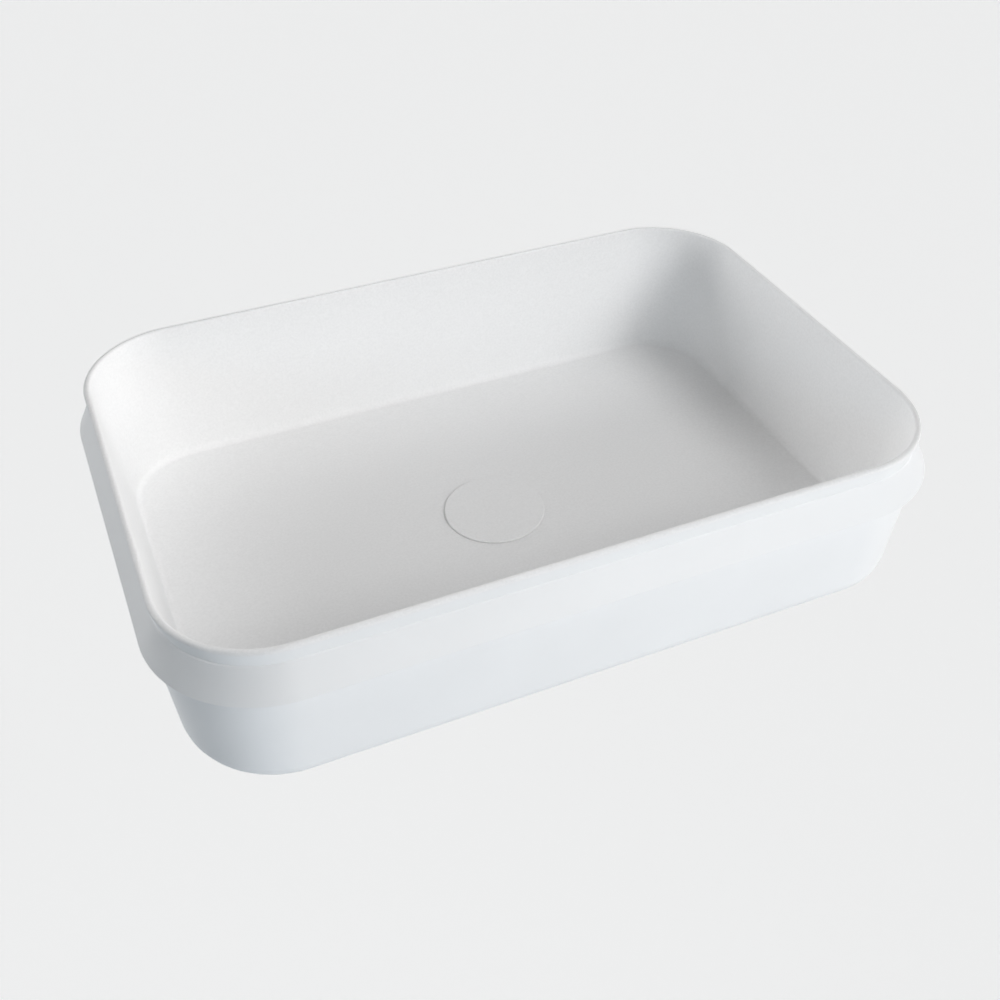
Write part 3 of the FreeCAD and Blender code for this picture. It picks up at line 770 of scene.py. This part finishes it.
# Brass: bar, turned, with the tool's fine rings across the axis, drawn 3.77 mm apart so that they show.
FEED = 3.77
FEED_DEPTH = 0.02
WAVE_AT_SCALE_ONE = math.tau / 20
brass, tree, shader, here = new_material("brass_turned", 0.28)
shader.inputs["Metallic"].default_value = 1
rings = add_node(
    tree,
    "ShaderNodeTexWave",
    {"Vector": here, "Scale": WAVE_AT_SCALE_ONE / (FEED * MM), "Distortion": 0.4, "Detail": 1},
    bands_direction="Z",
)
tone = add_node(tree, "ShaderNodeValToRGB", {0: rings.outputs["Fac"]})
tone.color_ramp.elements[0].color = linear("#c9a75c")
tone.color_ramp.elements[1].color = linear("#dcbd75")
tree.links.new(tone.outputs[0], shader.inputs["Base Color"])
relief = add_node(
    tree, "ShaderNodeBump", {"Height": rings.outputs["Fac"], "Strength": 0.15, "Distance": FEED_DEPTH * MM}
)
tree.links.new(relief.outputs[0], shader.inputs["Normal"])

# Acetal: moulded, slippery and milky white.
MILK = 4
acetal, tree, shader, here = new_material("acetal_moulded", 0.35)
milk = add_node(tree, "ShaderNodeTexNoise", {"Vector": here, "Scale": 1 / (MILK * MM), "Detail": 2})
tone = add_node(tree, "ShaderNodeValToRGB", {0: milk.outputs[0]})
tone.color_ramp.elements[0].color = linear("#ecece7")
tone.color_ramp.elements[1].color = linear("#f4f4f0")
tree.links.new(tone.outputs[0], shader.inputs["Base Color"])

# Stainless steel: drawn rod and wire, with fine lines along it.
LINE = 0.4
LINE_STRETCH = (1, 1, 0.05)
steel, tree, shader, here = new_material("stainless_steel_drawn", 0.25)
shader.inputs["Metallic"].default_value = 1
stretched = add_node(tree, "ShaderNodeMapping", {"Vector": here, "Scale": LINE_STRETCH})
lines = add_node(
    tree, "ShaderNodeTexNoise", {"Vector": stretched.outputs[0], "Scale": 1 / (LINE * MM), "Detail": 2}
)
tone = add_node(tree, "ShaderNodeValToRGB", {0: lines.outputs[0]})
tone.color_ramp.elements[0].color = linear("#b9b8b5")
tone.color_ramp.elements[1].color = linear("#d3d2cf")
tree.links.new(tone.outputs[0], shader.inputs["Base Color"])
sheen = add_node(tree, "ShaderNodeMapRange", {"Value": lines.outputs[0], "To Min": 0.2, "To Max": 0.34})
tree.links.new(sheen.outputs[0], shader.inputs["Roughness"])

housing = turn_piece(
    "cartridge_tube",
    [
        (0, SPIDER_UNDER, SHARP),
        (STEM_RADIUS, SPIDER_UNDER, MILD),
        (STEM_RADIUS, SPIDER_TOP, FINE),
        (TUBE_RADIUS, SPIDER_TOP, MILD),
        (TUBE_RADIUS, TUBE_TOP, EASED),
        (TUBE_BORE, TUBE_TOP, FINE),
        (TUBE_BORE, TUBE_FLOOR, EASED),
        (0, TUBE_FLOOR, SHARP),
    ],
    brass,
)
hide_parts("cartridge_housing")
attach(housing, "basin")
bush = turn_piece(
    "plunger_bush",
    [
        (ROD_HOLE, BUSH_UNDER, FINE),
        (BUSH_RADIUS, BUSH_UNDER, EASED),
        (BUSH_RADIUS, TUBE_TOP, SHARP),
        (TUBE_RADIUS, TUBE_TOP, EASED),
        (TUBE_RADIUS, BUSH_TOP, MILD),
        (ROD_HOLE, BUSH_TOP, EASED),
    ],
    acetal,
)
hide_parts("guide_bush")
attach(bush, "basin")
plunger = turn_piece(
    "plunger_rod",
    [
        (0, PIN_END, SHARP),
        (PIN_RADIUS, PIN_END, SOFT),
        (PIN_RADIUS, HEAD_UNDER, SHARP),
        (HEAD_RADIUS, HEAD_UNDER, EASED),
        (HEAD_RADIUS, HEAD_TOP, MILD),
        (ROD_RADIUS, HEAD_TOP, CRISP),
        (ROD_RADIUS, ROD_TOP, SOFT),
        (0, ROD_TOP, SHARP),
    ],
    steel,
)
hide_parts("plunger")
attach(plunger, "plug")

# The notched ring keeps the form of its solid, and only takes the bush's material.
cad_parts["index_ring"].data.materials.clear()
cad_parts["index_ring"].data.materials.append(acetal)

# The spring: round wire, cold wound.
wire_angles = [step * math.tau / WIRE_STEPS for step in range(WIRE_STEPS)]
spring = shape_piece(
    "compression_spring",
    [(WIRE_RADIUS * math.cos(angle), WIRE_RADIUS * math.sin(angle)) for angle in wire_angles],
    helix,
    {
        "Radius": COIL_RADIUS * MM,
        "Pitch": COIL_PITCH * MM,
        "Turns": COIL_TURNS,
        "Foot": COIL_FOOT * MM,
        "Run-out turns": COIL_RUN_OUT,
        "Steps": 48,
        "Finish": steel,
    },
)
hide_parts("return_spring")
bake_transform(spring)

# Cover
# A disc of the bowl's own material, sanded like the bowl's floor, low over the recess. A moulded plate is
# bonded under it, screwed on the plunger, with a soft ring that shuts on the waste flange.
COVER_TOP = -82.5
COVER_EDGE = -84
COVER_UNDER = -85.2
COVER_RADIUS = 43.5
COVER_TOP_ROUND = 1.2
COVER_EDGE_ROUND = 0.15
PLATE_RADIUS = 31.5
PLATE_UNDER = -89.8
SPIGOT_RADIUS = 16.955
SPIGOT_UNDER = -92.8
CARRIER_HUB_RADIUS = 7
CARRIER_HUB_UNDER = -99.8
PLUG_RING_BORE = 17.005
PLUG_RING_RADIUS = 23.005
PLUG_RING_UNDER = -91

# ABS: moulded, off-white and satin, with the fine texture of the mould's spark-eroded face.
SPARK = 0.8
SPARK_DEPTH = 0.03
abs_plastic, tree, shader, here = new_material("carrier_abs", 0.5)
spark = add_node(tree, "ShaderNodeTexNoise", {"Vector": here, "Scale": 1 / (SPARK * MM), "Detail": 2})
tone = add_node(tree, "ShaderNodeValToRGB", {0: spark.outputs[0]})
tone.color_ramp.elements[0].color = linear("#dcdcd8")
tone.color_ramp.elements[1].color = linear("#e8e8e5")
tree.links.new(tone.outputs[0], shader.inputs["Base Color"])
relief = add_node(
    tree, "ShaderNodeBump", {"Height": spark.outputs[0], "Strength": 0.2, "Distance": SPARK_DEPTH * MM}
)
tree.links.new(relief.outputs[0], shader.inputs["Normal"])

carrier = turn_piece(
    "carrier_plate",
    [
        (0, ROD_TOP, SHARP),
        (ROD_HOLE, ROD_TOP, CRISP),
        (ROD_HOLE, CARRIER_HUB_UNDER, FINE),
        (CARRIER_HUB_RADIUS, CARRIER_HUB_UNDER, BLUNT),
        (CARRIER_HUB_RADIUS, SPIGOT_UNDER, FULL),
        (SPIGOT_RADIUS, SPIGOT_UNDER, MILD),
        (SPIGOT_RADIUS, PLATE_UNDER, CRISP),
        (PLATE_RADIUS, PLATE_UNDER, EASED),
        (PLATE_RADIUS, COVER_UNDER, FINE),
        (0, COVER_UNDER, SHARP),
    ],
    abs_plastic,
)
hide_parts("cover_carrier")
seal = turn_piece(
    "plug_ring",
    [
        (PLUG_RING_BORE, PLUG_RING_UNDER, EASED),
        (PLUG_RING_RADIUS, PLUG_RING_UNDER, MILD),
        (PLUG_RING_RADIUS, PLATE_UNDER, EASED),
        (PLUG_RING_BORE, PLATE_UNDER, FINE),
    ],
    silicone,
)
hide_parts("plug_seal")
cover = turn_piece(
    "cover_disc",
    [
        (0, COVER_UNDER, SHARP),
        (PLATE_RADIUS, COVER_UNDER, EASED),
        (COVER_RADIUS, COVER_EDGE, COVER_EDGE_ROUND),
        (COVER_RADIUS, COVER_TOP, COVER_TOP_ROUND),
        (0, COVER_TOP, SHARP),
    ],
    sanded,
)
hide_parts("drain_cover")
for piece in (carrier, seal, cover):
    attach(piece, "plug")

# Camera
# It stands where the photograph was taken from: in front of the basin, a little to the left and well above.
# Its stand is in metres, its angles are in degrees.
SENSOR = 36
FIELD_OF_VIEW = 45
CAMERA_STAND = (-0.31184, -0.73197, 0.59741)
LOOKING_DOWN = 40.126
TURNED_RIGHT = 23.428
camera = bpy.data.objects.new("camera", bpy.data.cameras.new("camera"))
camera.data.sensor_width = SENSOR
camera.data.lens = SENSOR / 2 / math.tan(math.radians(FIELD_OF_VIEW / 2))
camera.location = CAMERA_STAND
camera.rotation_euler = (math.radians(90 - LOOKING_DOWN), 0, math.radians(-TURNED_RIGHT))
bpy.context.scene.collection.objects.link(camera)
bpy.context.scene.camera = camera

# Studio
# A pale, faintly cool paper floor far below the basin. Paper and backdrop are lifted to a neutral grey for
# the eye and for reflections only, so the lift adds no light. Sizes are in metres.
FLOOR_DEPTH = 4
FLOOR_HALF = 40
PAPER = "#f5f8f9"
PAPER_LIFT = "#fffdfc"
PAPER_LIFT_STRENGTH = 0.487
BACKDROP = "#ededed"


def seen_directly(tree):
    """One for what the camera, a reflection or a clear body sees, nought for what lights the piece."""
    path = add_node(tree, "ShaderNodeLightPath", {}).outputs
    mirrored = add_node(
        tree, "ShaderNodeMath", {0: path["Is Camera Ray"], 1: path["Is Glossy Ray"]}, operation="MAXIMUM"
    )
    seen = add_node(
        tree,
        "ShaderNodeMath",
        {0: mirrored.outputs[0], 1: path["Is Transmission Ray"]},
        operation="MAXIMUM",
    )
    return seen.outputs[0]


floor_mesh = bpy.data.meshes.new("studio_floor")
floor_mesh.from_pydata(
    [(FLOOR_HALF * x, FLOOR_HALF * y, -FLOOR_DEPTH) for x, y in ((-1, -1), (1, -1), (1, 1), (-1, 1))],
    [],
    [(0, 1, 2, 3)],
)
floor = bpy.data.objects.new("studio_floor", floor_mesh)
bpy.context.scene.collection.objects.link(floor)
paper, tree, shader, _ = new_material("backdrop_paper", 1)
shader.inputs["Base Color"].default_value = linear(PAPER)
shader.inputs["Specular IOR Level"].default_value = 0
shader.inputs["Emission Color"].default_value = linear(PAPER_LIFT)
lift = add_node(
    tree, "ShaderNodeMath", {0: seen_directly(tree), 1: PAPER_LIFT_STRENGTH}, operation="MULTIPLY"
)
tree.links.new(lift.outputs[0], shader.inputs["Emission Strength"])
floor_mesh.materials.append(paper)

# The far lights: keys at the front right, fills at the right, front left and back left. Each has where it
# comes from, in degrees round from +X and up, how wide it is seen, its strength and its colour.
for name, around, up, width, strength, colour in (
    ("key_low", 285, 15, 16, 0.205, "#ffffff"),
    ("key_middle", 300, 28, 20, 0.48, "#ffffff"),
    ("key_top", 300, 42, 20, 0.787, "#ffffff"),
    ("fill_right", 0, 6, 12, 0.363, "#ffffff"),
    ("fill_front_left", 225, 15, 16, 0.205, "#c8e4f8"),
    ("fill_back_left", 135, 12, 40, 1.53, "#ffffff"),
):
    lamp = bpy.data.objects.new(name, bpy.data.lights.new(name, "SUN"))
    lamp.data.angle = math.radians(width)
    lamp.data.energy = strength
    lamp.data.color = linear(colour)[:3]
    lamp.rotation_euler = (math.radians(90 - up), 0, math.radians(around + 90))
    bpy.context.scene.collection.objects.link(lamp)

# The near lights: round softboxes in front, at the right and over the bowl, and reflectors low in front and
# at the left. All face the bowl. Each has its stand, how wide it is, its power and its colour.
for name, stand, width, power, colour in (
    ("softbox_front", (0.6, -1.2, 0.35), 0.5, 3.1, "#ffffff"),
    ("softbox_right", (1.2, 0.4, 0.35), 0.5, 2.08, "#ffffff"),
    ("softbox_over_middle", (-0.1, -0.1, 0.5), 0.3, 0.79, "#ffffff"),
    ("softbox_over_right", (0.6, 0.4, 0.8), 0.5, 1.3, "#ffffff"),
    ("reflector_front", (0.4, -1.3, -0.5), 0.8, 4.042, "#ffffff"),
    ("reflector_left", (-0.6, -0.7, -1), 0.8, 1.52, "#c4e0f8"),
):
    lamp = bpy.data.objects.new(name, bpy.data.lights.new(name, "AREA"))
    lamp.data.shape = "DISK"
    lamp.data.size = width
    lamp.data.energy = power
    lamp.data.color = linear(colour)[:3]
    lamp.location = stand
    lamp.rotation_euler = lamp.location.to_track_quat("Z", "Y").to_euler()
    lamp.visible_camera = False
    bpy.context.scene.collection.objects.link(lamp)
world = bpy.data.worlds.new("studio")
bpy.context.scene.world = world
world.use_nodes = True
sky = world.node_tree.nodes["Background"]
sky.inputs["Color"].default_value = linear(BACKDROP)
world.node_tree.links.new(seen_directly(world.node_tree), sky.inputs["Strength"])
bpy.context.scene.view_settings.view_transform = "Standard"
